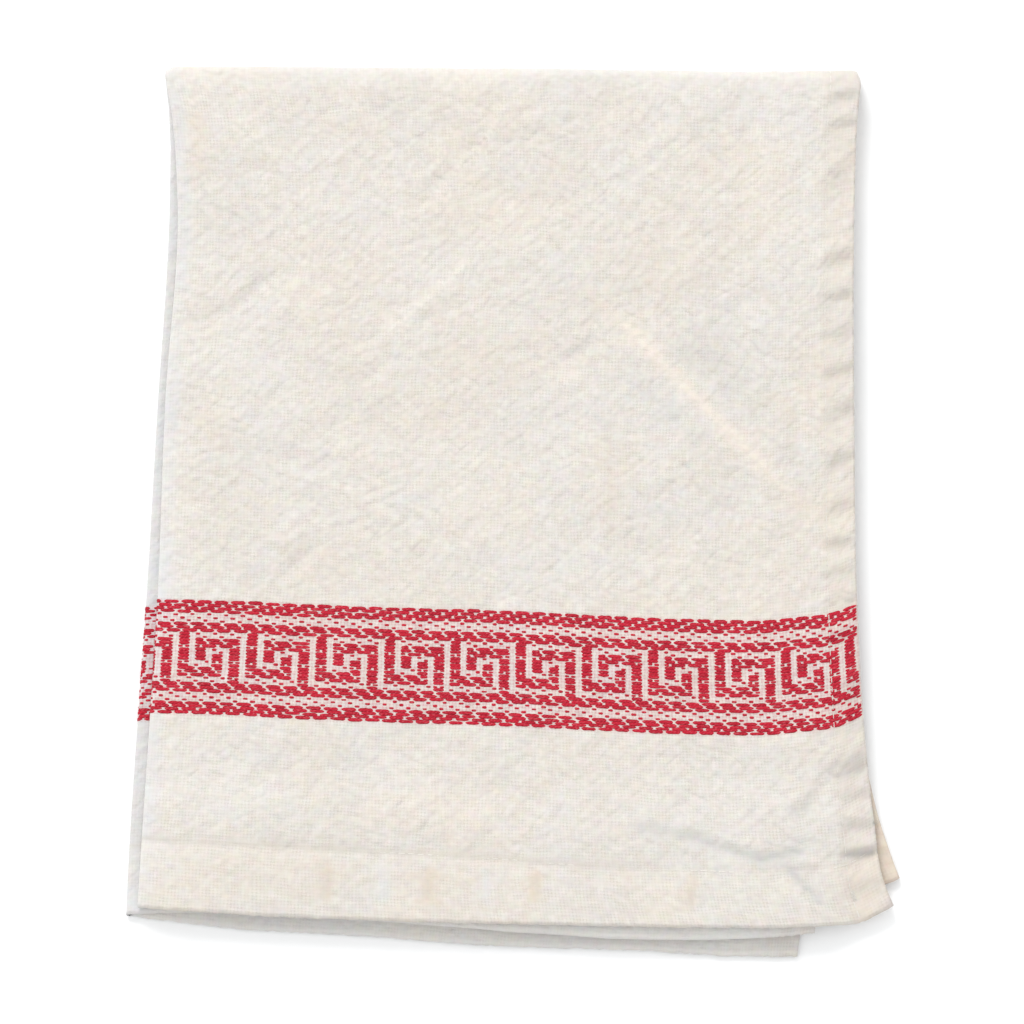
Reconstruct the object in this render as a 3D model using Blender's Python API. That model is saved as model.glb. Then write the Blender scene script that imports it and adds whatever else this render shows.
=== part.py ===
"""Tea towel: one woven cotton cloth, hemmed all round and folded in quarters, lying flat.

The cloth is folded lengthwise (the left edge), then crosswise (the far edge, +Y), so that it
lies in four leaves. From the surface up they are the ground, third, second and face leaf.
The second and face leaf share the upper lengthwise fold, and the ground and third leaf the
lower one. The ground and face leaf wrap round the crosswise fold outside the other two.

Metres, +Z up, the surface at z = 0, the origin under the middle of the towel's box.
"""

from collections import namedtuple

import bmesh
import bpy
import numpy as np

MM = 0.001

# The cloth, as it was cut and hemmed.
CLOTH_WIDTH = 0.500
CLOTH_LENGTH = 0.610
CLOTH_THICK = 0.0012
HEM_THICK = 0.0018
SIDE_HEM = 0.0115
END_HEM = 0.022
HEM_STEP = 0.0016
HALF_WIDTH = CLOTH_WIDTH / 2
HALF_LENGTH = CLOTH_LENGTH / 2

# How the leaves lie on each other.
LEAF_GAP = 0.0004
BRIDGE = 0.015
DROOP = 0.014
SIDE_FOLD_RADIUS = 0.0014
TOP_FOLD_RADIUS = 0.0030
CORNER_RADIUS = 0.0028

GROUND, THIRD, SECOND, FACE = range(4)

# Each station down the towel, from the crosswise fold (0) to the end hem (1): where the two
# lengthwise folds and the side hem of each leaf lie, in millimetres to the right.
Side = namedtuple("Side", "down lower_fold upper_fold ground third second face")
SIDES = (
    Side(0.00, -125.4, -125.4, 125.3, 124.9, 124.8, 125.9),
    Side(0.05, -123.9, -122.9, 124.2, 124.0, 124.0, 124.6),
    Side(0.15, -123.8, -120.9, 122.6, 122.6, 122.6, 123.6),
    Side(0.40, -128.3, -125.4, 119.0, 122.4, 120.5, 123.5),
    Side(0.65, -132.8, -128.4, 114.0, 123.6, 117.0, 124.8),
    Side(0.80, -136.1, -131.4, 110.5, 126.0, 114.5, 127.6),
    Side(0.90, -138.1, -133.4, 107.0, 130.7, 112.0, 130.9),
    Side(0.97, -139.2, -134.8, 104.4, 137.0, 110.2, 134.3),
    Side(1.00, -139.6, -135.4, 103.2, 140.2, 109.4, 137.9),
)

# Each station across the towel, from the lengthwise fold (0) to the side hem (1): where the
# crosswise fold and the end hem of each leaf lie, in millimetres towards the far side.
End = namedtuple("End", "across top ground third second face")
ENDS = (
    End(0.00, 161.2, -146.2, -145.5, -143.0, -143.0),
    End(0.15, 161.0, -150.5, -144.4, -145.1, -145.7),
    End(0.35, 160.7, -153.4, -145.1, -147.8, -147.8),
    End(0.55, 160.3, -157.0, -145.1, -151.6, -149.1),
    End(0.75, 159.6, -158.5, -144.0, -154.5, -150.0),
    End(0.90, 158.9, -160.6, -141.0, -154.1, -149.6),
    End(0.96, 158.9, -160.8, -136.8, -153.2, -147.9),
    End(1.00, 158.9, -160.8, -132.6, -152.0, -142.2),
)

# Broad, low swells of the uppermost leaf: heading in degrees, length and height in millimetres.
Swell = namedtuple("Swell", "heading length phase height")
SWELLS = (
    Swell(52, 118, 0.4, 0.35),
    Swell(118, 87, 2.1, 0.25),
    Swell(12, 143, 4.0, 0.25),
)

# The main creases, from one end to the other, in millimetres from the middle of the towel.
Crease = namedtuple("Crease", "start_x start_y end_x end_y half_width height")
CREASES = (
    Crease(46, 66, 101, 13, 9, 0.7),
    Crease(18, -109, 104, -122, 8, 0.6),
    Crease(104, -129, 115, -142, 7, 0.5),
    Crease(-110, 120, -30, 135, 10, 0.4),
)

# How finely the cloth is divided.
CELLS_ACROSS = 20
CELLS_DOWN = 23
SIDE_FOLD_STEPS = 6
TOP_FOLD_STEPS = 8

# The cloth's colour, and the angle past which its cut-like hem edges are shaded sharp.
COTTON = (0.82, 0.78, 0.71, 1.0)
SHARP_ANGLE = np.radians(50)


def column(table, name):
    return np.array([getattr(row, name) for row in table], float)


def smooth_line(table, along, name, at):
    """The value of a table's column at any station, on a smooth line through its rows."""
    stations = column(table, along)
    values = column(table, name) * MM
    slopes = np.gradient(values, stations)
    at = np.clip(at, 0.0, 1.0)
    low = np.clip(np.searchsorted(stations, at, side="right") - 1, 0, len(stations) - 2)
    step = stations[low + 1] - stations[low]
    t = (at - stations[low]) / step
    near = (2 * t**3 - 3 * t**2 + 1) * values[low] + (t**3 - 2 * t**2 + t) * step * slopes[low]
    far = (3 * t**2 - 2 * t**3) * values[low + 1] + (t**3 - t**2) * step * slopes[low + 1]
    return near + far


def smoothstep(low, high, value):
    t = np.clip((value - low) / (high - low), 0.0, 1.0)
    return t * t * (3 - 2 * t)


def fold_line(leaf, down):
    """The lengthwise fold of the pair that a leaf belongs to."""
    return smooth_line(SIDES, "down", "upper_fold" if leaf >= SECOND else "lower_fold", down)


def fold_middle(leaf, down):
    """The middle of that fold's bend, where the flat of the leaf begins."""
    return fold_line(leaf, down) + SIDE_FOLD_RADIUS


def side_hem_line(leaf, down):
    return smooth_line(SIDES, "down", Side._fields[3 + leaf], down)


def end_hem_line(leaf, across):
    return smooth_line(ENDS, "across", End._fields[2 + leaf], across)


def top_middle(leaf, x, across):
    """The middle of the crosswise fold's bend, which drops at the two rounded corners."""
    left = fold_line(leaf, 0.0)
    right = side_hem_line(leaf, 0.0)
    inset = np.clip(np.minimum(x - left, right - x), 0.0, CORNER_RADIUS)
    drop = CORNER_RADIUS - np.sqrt(CORNER_RADIUS**2 - (CORNER_RADIUS - inset) ** 2)
    return smooth_line(ENDS, "across", "top", across) - TOP_FOLD_RADIUS - drop


def plan(leaf, across, down):
    """Where a point of a leaf lies, seen from above."""
    middle = fold_middle(leaf, down)
    x = middle + across * (side_hem_line(leaf, down) - middle)
    top = top_middle(leaf, x, across)
    y = top + down * (end_hem_line(leaf, across) - top)
    return x, y


def place_on(leaf, x, y):
    """The across and down fractions of a leaf at a point seen from above."""
    across = np.full_like(x, 0.5)
    down = np.full_like(x, 0.5)
    for _ in range(6):
        top = top_middle(leaf, x, across)
        down = (top - y) / (top - end_hem_line(leaf, across))
        middle = fold_middle(leaf, down)
        across = (x - middle) / (side_hem_line(leaf, down) - middle)
    return across, down


def thickness(across, down):
    """The cloth's thickness, which steps up to that of the turned hems."""
    from_side = (1 - across) * HALF_WIDTH
    from_end = (1 - down) * HALF_LENGTH
    side = 1 - smoothstep(SIDE_HEM, SIDE_HEM + HEM_STEP, from_side)
    end = 1 - smoothstep(END_HEM, END_HEM + HEM_STEP, from_end)
    return CLOTH_THICK + (HEM_THICK - CLOTH_THICK) * np.maximum(side, end)


def held_up(leaf, x, y):
    """How high a leaf lifts what lies on it. It bridges a hem's step and a leaf's edge."""
    across, down = place_on(leaf, x, y)
    from_side = (1 - across) * HALF_WIDTH
    from_end = (1 - down) * HALF_LENGTH
    side = 1 - smoothstep(SIDE_HEM + HEM_STEP + BRIDGE, SIDE_HEM + BRIDGE + DROOP, from_side)
    end = 1 - smoothstep(END_HEM + HEM_STEP + BRIDGE, END_HEM + BRIDGE + DROOP, from_end)
    full = CLOTH_THICK + (HEM_THICK - CLOTH_THICK) * np.maximum(side, end)
    past = -np.minimum(from_side, from_end)
    return full * (1 - smoothstep(BRIDGE, BRIDGE + DROOP, past))


def swell(x, y):
    total = np.zeros_like(x)
    for row in SWELLS:
        heading = np.radians(row.heading)
        along = (x * np.cos(heading) + y * np.sin(heading)) / (row.length * MM)
        total += row.height * MM * (1 + np.sin(2 * np.pi * along + row.phase)) / 2
    return total


def crease(x, y):
    """The soft ridges of the main creases, which die away at their two ends."""
    total = np.zeros_like(x)
    for row in CREASES:
        start = np.array((row.start_x, row.start_y)) * MM
        way = np.array((row.end_x, row.end_y)) * MM - start
        length = np.hypot(*way)
        way /= length
        along = (x - start[0]) * way[0] + (y - start[1]) * way[1]
        aside = (y - start[1]) * way[0] - (x - start[0]) * way[1]
        fade = smoothstep(0.0, 0.25, along / length) * smoothstep(0.0, 0.25, 1 - along / length)
        total += row.height * MM * fade * np.exp(-((aside / (row.half_width * MM)) ** 2))
    return total


def underside(leaf, x, y):
    """The height of a leaf's lower face, with the ground leaf flat on the surface."""
    height = np.zeros_like(x)
    for below in range(leaf):
        height += LEAF_GAP + held_up(below, x, y)
    if leaf > GROUND:
        height += swell(x, y) * leaf / FACE
    if leaf == FACE:
        height += crease(x, y)
    return height


def faces_of(leaf, across, down, x, y):
    """The heights of a leaf's right side and wrong side."""
    low = underside(leaf, x, y)
    high = low + thickness(across, down)
    return (high, low) if leaf in (FACE, THIRD) else (low, high)


def stations(cells, hem, half):
    """Fractions from a fold to a hem, close together at the fold and at the hem's two edges."""
    inner = 1 - (hem + HEM_STEP) / half
    field = inner * np.linspace(0.0, 1.0, cells - 3) ** 1.1
    return np.concatenate([field, [1 - hem / half, 1 - CORNER_RADIUS / half, 1.0]])


def turn(steps):
    """The angles of a fold's bend between its two flats."""
    return np.linspace(np.pi / 2, -np.pi / 2, steps + 1)[1:-1]


def section(pair, down, side):
    """One section across a pair of leaves, as its points' x, y and z from hem to fold to hem.

    Side 0 is the cloth's right side, which faces out of the folded pair, and side 1 the wrong
    side, which faces in.
    """
    above, below = pair
    across = stations(CELLS_ACROSS, SIDE_HEM, HALF_WIDTH)
    rows = []
    for leaf, order in ((above, across[::-1]), (below, across)):
        fixed = np.full_like(order, down)
        x, y = plan(leaf, order, fixed)
        rows.append(np.stack([x, y, faces_of(leaf, order, fixed, x, y)[side]]))
    first, last = rows[0][:, -1], rows[1][:, 0]
    radius = SIDE_FOLD_RADIUS - side * CLOTH_THICK
    angle = turn(SIDE_FOLD_STEPS)
    share = (1 - np.sin(angle)) / 2
    bend = first[:, None] * (1 - share) + last[:, None] * share
    bend[0] -= radius * np.cos(angle)
    return np.concatenate([rows[0], bend, rows[1]], axis=1)


def folded_cloth(side):
    """The points of one side of the cloth, row by row from the face leaf's end hem."""
    down = stations(CELLS_DOWN, END_HEM, HALF_LENGTH)
    upper = [section((FACE, SECOND), at, side) for at in down[::-1]]
    lower = [section((GROUND, THIRD), at, side) for at in down]
    start, end = upper[-1], lower[0]
    stack = (section((FACE, SECOND), 0.0, 0)[2] - section((GROUND, THIRD), 0.0, 0)[2]).max()
    middle = (start + end) / 2
    reach = TOP_FOLD_RADIUS * (start[2] - end[2]) / stack
    bends = []
    for angle in turn(TOP_FOLD_STEPS):
        bend = middle + (start - middle) * np.sin(angle)
        bend[1] += reach * np.cos(angle)
        bends.append(bend)
    return np.array(upper + bends + lower).transpose(0, 2, 1)


def cotton():
    material = bpy.data.materials.new("cream cotton")
    material.use_nodes = True
    shader = material.node_tree.nodes["Principled BSDF"]
    shader.inputs["Base Color"].default_value = COTTON
    shader.inputs["Roughness"].default_value = 0.9
    shader.inputs["Metallic"].default_value = 0.0
    material.diffuse_color = COTTON
    return material


def tea_towel(collection):
    """The cloth is made flat as a thin closed slab, and then each of its points is folded."""
    sides = np.stack([folded_cloth(0), folded_cloth(1)])
    box_low, box_high = sides.min(axis=(0, 1, 2)), sides.max(axis=(0, 1, 2))
    sides[..., :2] -= (box_low[:2] + box_high[:2]) / 2
    rows, columns = sides.shape[1:3]

    flat = bmesh.new()
    bmesh.ops.create_grid(flat, x_segments=columns - 1, y_segments=rows - 1, size=0.5)
    bmesh.ops.solidify(flat, geom=flat.faces[:], thickness=1.0)
    for point in flat.verts:
        side = round(abs(point.co.z))
        row = round((0.5 - point.co.y) * (rows - 1))
        place = round((0.5 - point.co.x) * (columns - 1))
        point.co = sides[side, row, place]
    bmesh.ops.recalc_face_normals(flat, faces=flat.faces[:])
    if flat.calc_volume(signed=True) < 0:
        bmesh.ops.reverse_faces(flat, faces=flat.faces[:])

    mesh = bpy.data.meshes.new("tea_towel")
    flat.to_mesh(mesh)
    flat.free()
    mesh.materials.append(cotton())
    mesh.shade_smooth()
    mesh.set_sharp_from_angle(angle=SHARP_ANGLE)
    towel = bpy.data.objects.new("tea_towel", mesh)
    collection.objects.link(towel)
    return towel


def main():
    for thing in list(bpy.data.objects):
        bpy.data.objects.remove(thing, do_unlink=True)
    collection = bpy.data.collections.new("tea towel")
    bpy.context.scene.collection.children.link(collection)
    tea_towel(collection)


main()
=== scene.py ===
"""The look of a cream cotton tea towel with a woven red key border, folded in quarters."""

import math
from collections import namedtuple

import bpy
import numpy as np
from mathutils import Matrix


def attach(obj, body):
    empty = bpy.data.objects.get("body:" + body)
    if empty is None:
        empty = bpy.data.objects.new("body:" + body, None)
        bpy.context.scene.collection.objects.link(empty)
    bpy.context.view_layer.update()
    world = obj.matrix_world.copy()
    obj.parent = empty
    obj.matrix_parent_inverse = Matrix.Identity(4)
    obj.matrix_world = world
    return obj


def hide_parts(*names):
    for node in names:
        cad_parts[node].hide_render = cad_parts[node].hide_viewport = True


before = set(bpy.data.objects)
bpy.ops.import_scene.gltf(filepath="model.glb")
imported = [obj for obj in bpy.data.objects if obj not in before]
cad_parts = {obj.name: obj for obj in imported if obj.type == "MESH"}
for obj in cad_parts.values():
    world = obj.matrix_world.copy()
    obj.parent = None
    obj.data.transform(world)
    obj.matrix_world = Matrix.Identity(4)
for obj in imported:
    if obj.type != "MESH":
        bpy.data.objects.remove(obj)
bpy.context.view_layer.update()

MM = 0.001
QUARTER_TURN = math.pi / 2

# The flat cloth and its hems.
CLOTH_WIDTH = 0.500
CLOTH_LENGTH = 0.610
HALF_WIDTH = CLOTH_WIDTH / 2
HALF_LENGTH = CLOTH_LENGTH / 2
CLOTH_THICK = 0.0010
HEM_THICK = 0.0016
SIDE_HEM = 0.0115
END_HEM = 0.0237
HEM_STEP = 0.0011

# The solid that the cloth lies in: its thicker sheet and the way its leaves rest.
SOLID_THICK = 0.0012
SOLID_HEM_THICK = 0.0018
LEAF_GAP = 0.0004
BRIDGE = 0.015
DROOP = 0.014
SIDE_FOLD_RADIUS = 0.0014
TOP_FOLD_RADIUS = 0.0030
CORNER_RADIUS = 0.0028
CORNER_FADE = 8
PINCH = 0.35
PINCH_REACH = 0.009
TOP_PINCH = 0.22
TOP_PINCH_REACH = 0.005
OVERHANG = 0.005
SIDE_BEND = SIDE_FOLD_RADIUS * QUARTER_TURN
TOP_BEND = TOP_FOLD_RADIUS * QUARTER_TURN

# The weave: how far apart its warp threads and its picks (the weft threads) lie, and how
# uneven the end hem's edge is.
WARP = CLOTH_WIDTH / 2 / 212.5
PICK = 0.00113
FRAY_STEP = 0.0011
FRAY = 0.0005

GROUND, THIRD, SECOND, FACE = range(4)
FACES_UP = {GROUND: False, THIRD: True, SECOND: False, FACE: True}
# How much of the crumple each leaf shows; the ground leaf lies flat on the surface.
CRUMPLED = {GROUND: 0.0, THIRD: 0.4, SECOND: 0.5, FACE: 1.0}

# Each station down the towel, from the crosswise fold (0) to the end hem (1): where the two
# lengthwise folds and the side hem of each leaf lie, in millimetres to the right.
Side = namedtuple("Side", "down lower_fold upper_fold ground third second face")
SIDES = (
    Side(0.00, -125.4, -125.4, 125.3, 124.9, 124.8, 125.9),
    Side(0.05, -123.9, -122.9, 124.2, 124.0, 124.0, 124.6),
    Side(0.15, -123.8, -120.9, 122.6, 122.6, 122.6, 123.6),
    Side(0.40, -128.3, -125.4, 119.0, 122.4, 120.5, 123.5),
    Side(0.65, -132.8, -128.4, 114.0, 123.6, 117.0, 124.8),
    Side(0.80, -136.1, -131.4, 110.5, 126.0, 114.5, 127.6),
    Side(0.90, -138.1, -133.4, 107.0, 130.7, 112.0, 130.9),
    Side(0.97, -139.2, -134.8, 104.4, 137.0, 110.2, 134.3),
    Side(1.00, -139.6, -135.4, 103.2, 140.2, 109.4, 137.9),
)

# Each station across the towel, from the lengthwise fold (0) to the side hem (1): where the
# crosswise fold and the end hem of each leaf lie, in millimetres towards the far side.
End = namedtuple("End", "across top ground third second face")
ENDS = (
    End(0.00, 161.2, -146.2, -145.5, -143.0, -143.0),
    End(0.15, 161.0, -150.5, -144.4, -145.1, -145.7),
    End(0.35, 160.7, -153.4, -145.1, -147.8, -147.8),
    End(0.55, 160.3, -157.0, -145.1, -151.6, -149.1),
    End(0.75, 159.6, -158.5, -144.0, -154.5, -150.0),
    End(0.90, 158.9, -160.6, -141.0, -154.1, -149.6),
    End(0.96, 158.9, -160.8, -136.8, -153.2, -147.9),
    End(1.00, 158.9, -160.8, -132.6, -152.0, -142.2),
)

# Across the towel: how deep the end hem was turned, how far the picks bow towards the end hem
# and how far the warp has crept to the right, in millimetres. The last two are at the border.
Pull = namedtuple("Pull", "across hem bow creep")
PULLS = (
    Pull(0.00, 23.8, -1.2, 0.0),
    Pull(0.12, 23.7, -1.9, 0.5),
    Pull(0.21, 23.8, -1.7, 1.5),
    Pull(0.31, 23.4, -1.4, 2.3),
    Pull(0.50, 22.0, -1.0, 1.6),
    Pull(0.62, 20.5, 0.1, 1.4),
    Pull(0.74, 20.2, 0.9, 1.3),
    Pull(0.86, 19.6, 1.0, 1.3),
    Pull(0.95, 20.0, -0.3, 0.6),
    Pull(1.00, 21.0, 0.0, 0.0),
)

# The long low waves that all the leaves share, in degrees and millimetres.
Swell = namedtuple("Swell", "heading length phase height")
SWELLS = (
    Swell(52, 118, 0.4, 0.35),
    Swell(118, 87, 2.1, 0.25),
    Swell(12, 143, 4.0, 0.25),
)

# The crumple of washed cotton: each grain is random hills drawn out along its heading. long and
# short are the size of a hill in millimetres.
Grain = namedtuple("Grain", "heading long short height seed")
GRAINS = (
    Grain(42, 22, 5.5, 0.46, 11),
    Grain(50, 15, 4.6, 0.34, 12),
    Grain(-38, 16, 6.0, 0.46, 13),
    Grain(25, 9.0, 6.5, 0.40, 14),
    Grain(0, 34, 26, 0.60, 15),
)

# The creases pressed into the face leaf, in millimetres from the towel's middle: a ridge has a
# height above 0 and a trough one below. shade is how much lighter (above 0) or greyer (below) the
# cloth is painted along it, and warmth how much creamier (above 0) or cooler (below); along the
# creases these are painted light and painted shade.
Crease = namedtuple("Crease", "start_x start_y end_x end_y half_width height shade warmth")
CREASES = (
    # The long pressed ridge towards the side hem, painted lighter and creamier along it as a
    # highlight, the patches of painted shade beside it, and the straight pressed lines between the
    # two.
    Crease(22.5, 86, 113.5, -6.5, 2.4, 0.34, 0.8, 1.5),
    Crease(52, 73, 101, 23, 11.0, -0.30, -0.6, -0.2),
    Crease(26, 68, 96, -4, 8.0, 0.00, -0.4, -0.2),
    Crease(101, 44, 101, 14, 1.2, -0.25, -0.7, 0.5),
    Crease(106, 34, 106, 12, 1.2, 0.15, 0.5, -0.3),
    Crease(35, 50, 36, -36, 0.9, -0.20, -0.4, 0.5),
    # The troughs that meet near the corner, painted grey along most of them as shade.
    Crease(40, -113, 68, -118, 2.0, -0.60, -1.0, -0.4),
    Crease(58, -115, 94, -127, 2.0, -1.00, -1.5, -0.6),
    Crease(84, -127, 109, -121, 1.8, -0.90, -1.6, -0.5),
    Crease(99, -118, 114, -119, 1.3, -0.40, -0.8, -0.2),
    Crease(96, -125, 115, -145, 1.5, -0.80, -1.3, -0.5),
    Crease(104, -122, 118, -134, 1.8, 0.40, 0.3, 0.4),
    Crease(116, -124, 136, -122.5, 1.4, -0.80, -1.2, -0.2),
    Crease(100, -113, 121, -86, 1.5, -0.70, -1.0, 0.1),
    Crease(112, -98, 131, -91, 1.9, -0.90, -1.2, 0.4),
    Crease(104, -86, 128, -75, 2.0, -0.50, -0.4, 0.0),
    # The slanting creases of the upper half.
    Crease(-125, 66, -98, 75, 1.5, -0.75, -0.6, 0.0),
    Crease(-106, 70, -82, 90, 1.5, -1.10, -0.9, 0.0),
    Crease(-55, 55, -4, 99, 1.3, 0.75, 0.6, 0.2),
    Crease(-38, 66, -14, 79, 1.3, -0.70, -0.6, 0.0),
    Crease(-68, 42, -31, 62, 1.0, -0.60, -0.5, 0.0),
    Crease(-44, 101, -4, 143, 1.2, -0.70, -0.6, 0.0),
    Crease(-28, 113, 5, 153, 1.2, 0.80, 0.6, 0.1),
    Crease(-9, 131, 15, 140, 1.3, -0.80, -0.6, 0.1),
    Crease(31, 119, 66, 141, 1.4, 0.70, 0.5, 0.1),
    Crease(62, 141, 81, 121, 1.4, -0.90, -0.8, 0.1),
    Crease(15, 53, 35, 66, 1.4, -0.90, -0.8, -0.1),
    Crease(-1, 33, 27, 51, 1.4, 0.70, 0.5, 0.0),
    Crease(42, 6, 60, 17, 1.1, 0.55, 0.4, 0.1),
    Crease(57, 17, 87, -5, 1.1, -0.55, -0.5, 0.1),
    Crease(-90, -29, -63, -4, 1.1, -0.75, -0.6, 0.0),
    Crease(-114, 152, -112, 112, 5.0, 0.20, -0.2, 1.1),
    # The short streaks across the end hem.
    Crease(-66, -126, -68, -142, 2.0, -0.15, -0.9, 2.4),
    Crease(-47, -126, -46, -143, 2.4, 0.15, 0.2, -1.3),
    Crease(-29, -126, -31, -143, 2.0, -0.15, -0.9, 2.4),
    Crease(-10, -127, -9, -143, 2.4, 0.15, 0.1, -1.4),
    Crease(9, -127, 8, -143, 2.0, -0.15, -1.0, 2.4),
    Crease(66, -128, 64, -145, 1.8, -0.15, -1.0, 1.8),
)


def column(table, name):
    return np.array([getattr(row, name) for row in table], float)


def smooth_line(table, along, name, at):
    """The value of a table's column at any station, on a smooth line through its rows."""
    stations = column(table, along)
    values = column(table, name) * MM
    slopes = np.gradient(values, stations)
    at = np.clip(at, 0.0, 1.0)
    low = np.clip(np.searchsorted(stations, at, side="right") - 1, 0, len(stations) - 2)
    step = stations[low + 1] - stations[low]
    t = (at - stations[low]) / step
    near = (2 * t**3 - 3 * t**2 + 1) * values[low] + (t**3 - 2 * t**2 + t) * step * slopes[low]
    far = (3 * t**2 - 2 * t**3) * values[low + 1] + (t**3 - t**2) * step * slopes[low + 1]
    return near + far


def smoothstep(low, high, value):
    t = np.clip((value - low) / (high - low), 0.0, 1.0)
    return t * t * (3 - 2 * t)


def rolling(x, y, seed):
    """Smooth random hills, from 0 to 1, one cell to a unit."""
    table = np.random.default_rng(seed).random((256, 256))
    column_at, row_at = np.floor(x).astype(int), np.floor(y).astype(int)
    u, v = x - column_at, y - row_at
    u, v = u * u * (3 - 2 * u), v * v * (3 - 2 * v)
    corner = [[table[(row_at + j) % 256, (column_at + i) % 256] for i in (0, 1)] for j in (0, 1)]
    near = corner[0][0] * (1 - u) + corner[0][1] * u
    far = corner[1][0] * (1 - u) + corner[1][1] * u
    return near * (1 - v) + far * v


# --- How the cloth is folded ---------------------------------------------------------------


def fold_line(leaf, down):
    return smooth_line(SIDES, "down", "upper_fold" if leaf >= SECOND else "lower_fold", down)


def side_hem_line(leaf, down):
    return smooth_line(SIDES, "down", Side._fields[3 + leaf], down)


def end_hem_line(leaf, across):
    return smooth_line(ENDS, "across", End._fields[2 + leaf], across)


def hem_depth(across):
    return smooth_line(PULLS, "across", "hem", across)


def top_middle(leaf, x, across, down):
    """The middle of the crosswise fold's bend, which drops at the two rounded corners."""
    left = fold_line(leaf, 0.0) + SIDE_FOLD_RADIUS / 2
    right = side_hem_line(leaf, 0.0)
    inset = np.clip(np.minimum(x - left, right - x), 0.0, CORNER_RADIUS)
    drop = CORNER_RADIUS - np.sqrt(CORNER_RADIUS**2 - (CORNER_RADIUS - inset) ** 2)
    drop *= np.clip(1 - down, 0.0, 1.0) ** CORNER_FADE
    return smooth_line(ENDS, "across", "top", across) - TOP_FOLD_RADIUS - drop


def at_border(down):
    """1 along the border, where the picks bow most, and 0 at the fold and the end hem.

    The curve is highest two thirds of the way down, where 6.75 brings it to 1.
    """
    return 6.75 * down**2 * (1 - down)


def plan(leaf, across, down):
    """Where a point of a leaf lies, seen from above."""
    middle = fold_line(leaf, down) + SIDE_FOLD_RADIUS
    creep = smooth_line(PULLS, "across", "creep", across) * at_border(down)
    x = middle + across * (side_hem_line(leaf, down) - middle) + creep
    top = top_middle(leaf, x, across, down)
    bow = smooth_line(PULLS, "across", "bow", across) * at_border(down) * (leaf >= SECOND)
    fray = (rolling(x / FRAY_STEP, x * 0 + leaf, 61) - 0.5) * FRAY * smoothstep(0.985, 1.0, down)
    y = top + down * (end_hem_line(leaf, across) - top) - bow + fray
    return x, y


def place_on(leaf, x, y):
    """The across and down fractions of a leaf at a point seen from above."""
    across = np.full_like(x, 0.5)
    down = np.full_like(x, 0.5)
    for _ in range(6):
        top = top_middle(leaf, x, across, down)
        down = (top - y) / (top - end_hem_line(leaf, across))
        middle = fold_line(leaf, down) + SIDE_FOLD_RADIUS
        across = (x - middle) / (side_hem_line(leaf, down) - middle)
    return across, down


def held_up(leaf, x, y):
    """How high a leaf lifts what lies on it. It bridges a hem's step and a leaf's edge."""
    across, down = place_on(leaf, x, y)
    from_side = (1 - across) * HALF_WIDTH
    from_end = (1 - down) * HALF_LENGTH
    side = 1 - smoothstep(SIDE_HEM + BRIDGE, SIDE_HEM + BRIDGE + DROOP, from_side)
    end = 1 - smoothstep(BRIDGE, BRIDGE + DROOP, from_end - hem_depth(across))
    full = SOLID_THICK + (SOLID_HEM_THICK - SOLID_THICK) * np.maximum(side, end)
    past = -np.minimum(from_side, from_end)
    return full * (1 - smoothstep(OVERHANG, OVERHANG + DROOP, past))


def swell(x, y):
    total = np.zeros_like(x)
    for row in SWELLS:
        heading = np.radians(row.heading)
        along = (x * np.cos(heading) + y * np.sin(heading)) / (row.length * MM)
        total += row.height * MM * (1 + np.sin(2 * np.pi * along + row.phase)) / 2
    return total


def crease(x, y, what="height"):
    """What the main creases add to the height, shade or warmth; each dies away at its ends."""
    total = np.zeros_like(x)
    for row in CREASES:
        start = np.array((row.start_x, row.start_y)) * MM
        way = np.array((row.end_x, row.end_y)) * MM - start
        length = np.hypot(*way)
        way /= length
        along = ((x - start[0]) * way[0] + (y - start[1]) * way[1]) / length
        aside = (y - start[1]) * way[0] - (x - start[0]) * way[1]
        fade = smoothstep(0.0, 0.3, along) * smoothstep(0.0, 0.3, 1 - along)
        # Across a crease: 1 in the middle, rounded there, with long flanks.
        away = (aside / (row.half_width * MM)) ** 2
        total += getattr(row, what) * fade * np.exp(0.4 - np.sqrt(away * 2.2 + 0.16))
    return total


def crumple(x, y):
    """The fine creases of washed cotton, most of them running up to the right."""
    total = np.zeros_like(x)
    for grain in GRAINS:
        heading = math.radians(grain.heading)
        along = (x * math.cos(heading) + y * math.sin(heading)) / (grain.long * MM)
        aside = (y * math.cos(heading) - x * math.sin(heading)) / (grain.short * MM)
        total += grain.height * MM * rolling(along + 40, aside + 90, grain.seed)
    return total


def hem_pull(across):
    """How tightly the end hem's stitches are drawn in: less so towards the side hem."""
    return 1 - 0.75 * smoothstep(0.54, 0.76, across)


# The side hem's puckers slant, and their spacing and their height wander along the hem. Both
# hems' stitches lie in a trough, and the end hem is gathered a little.
PUCKER_SPACING = 0.0145
PUCKER_HEIGHT = 0.00080
PUCKER_SLANT = 0.24
TROUGH_WIDTH = 0.0009
SIDE_TROUGH = 0.00012
END_TROUGH = 0.00024
GATHER_LENGTH = 0.009
GATHER_HEIGHT = 0.00036
# How much less the doubled cloth of each hem is crumpled.
END_CALM = 0.55
SIDE_CALM = 0.3


def trough(from_stitches):
    """1 on a line of stitches, dying away to both sides."""
    return np.exp(-((from_stitches / TROUGH_WIDTH) ** 2))


def hem_puckers(from_side, along):
    """The gathers of the side hem, and the trough that its stitches pull."""
    wander = 2.2 * rolling(along / 0.045, along * 0, 21)
    turn = 2 * np.pi * ((along + PUCKER_SLANT * from_side) / PUCKER_SPACING + wander)
    wave = np.sin(turn + 0.5 * np.sin(turn))
    strength = 0.2 + 1.4 * rolling(along / 0.012, from_side / 0.007 + 7, 22)
    inside = smoothstep(0.0, 0.002, from_side) * (1 - smoothstep(0.006, 0.017, from_side))
    puckers = PUCKER_HEIGHT * wave * strength * inside
    return puckers - SIDE_TROUGH * trough(from_side - SIDE_HEM + 0.001)


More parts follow.
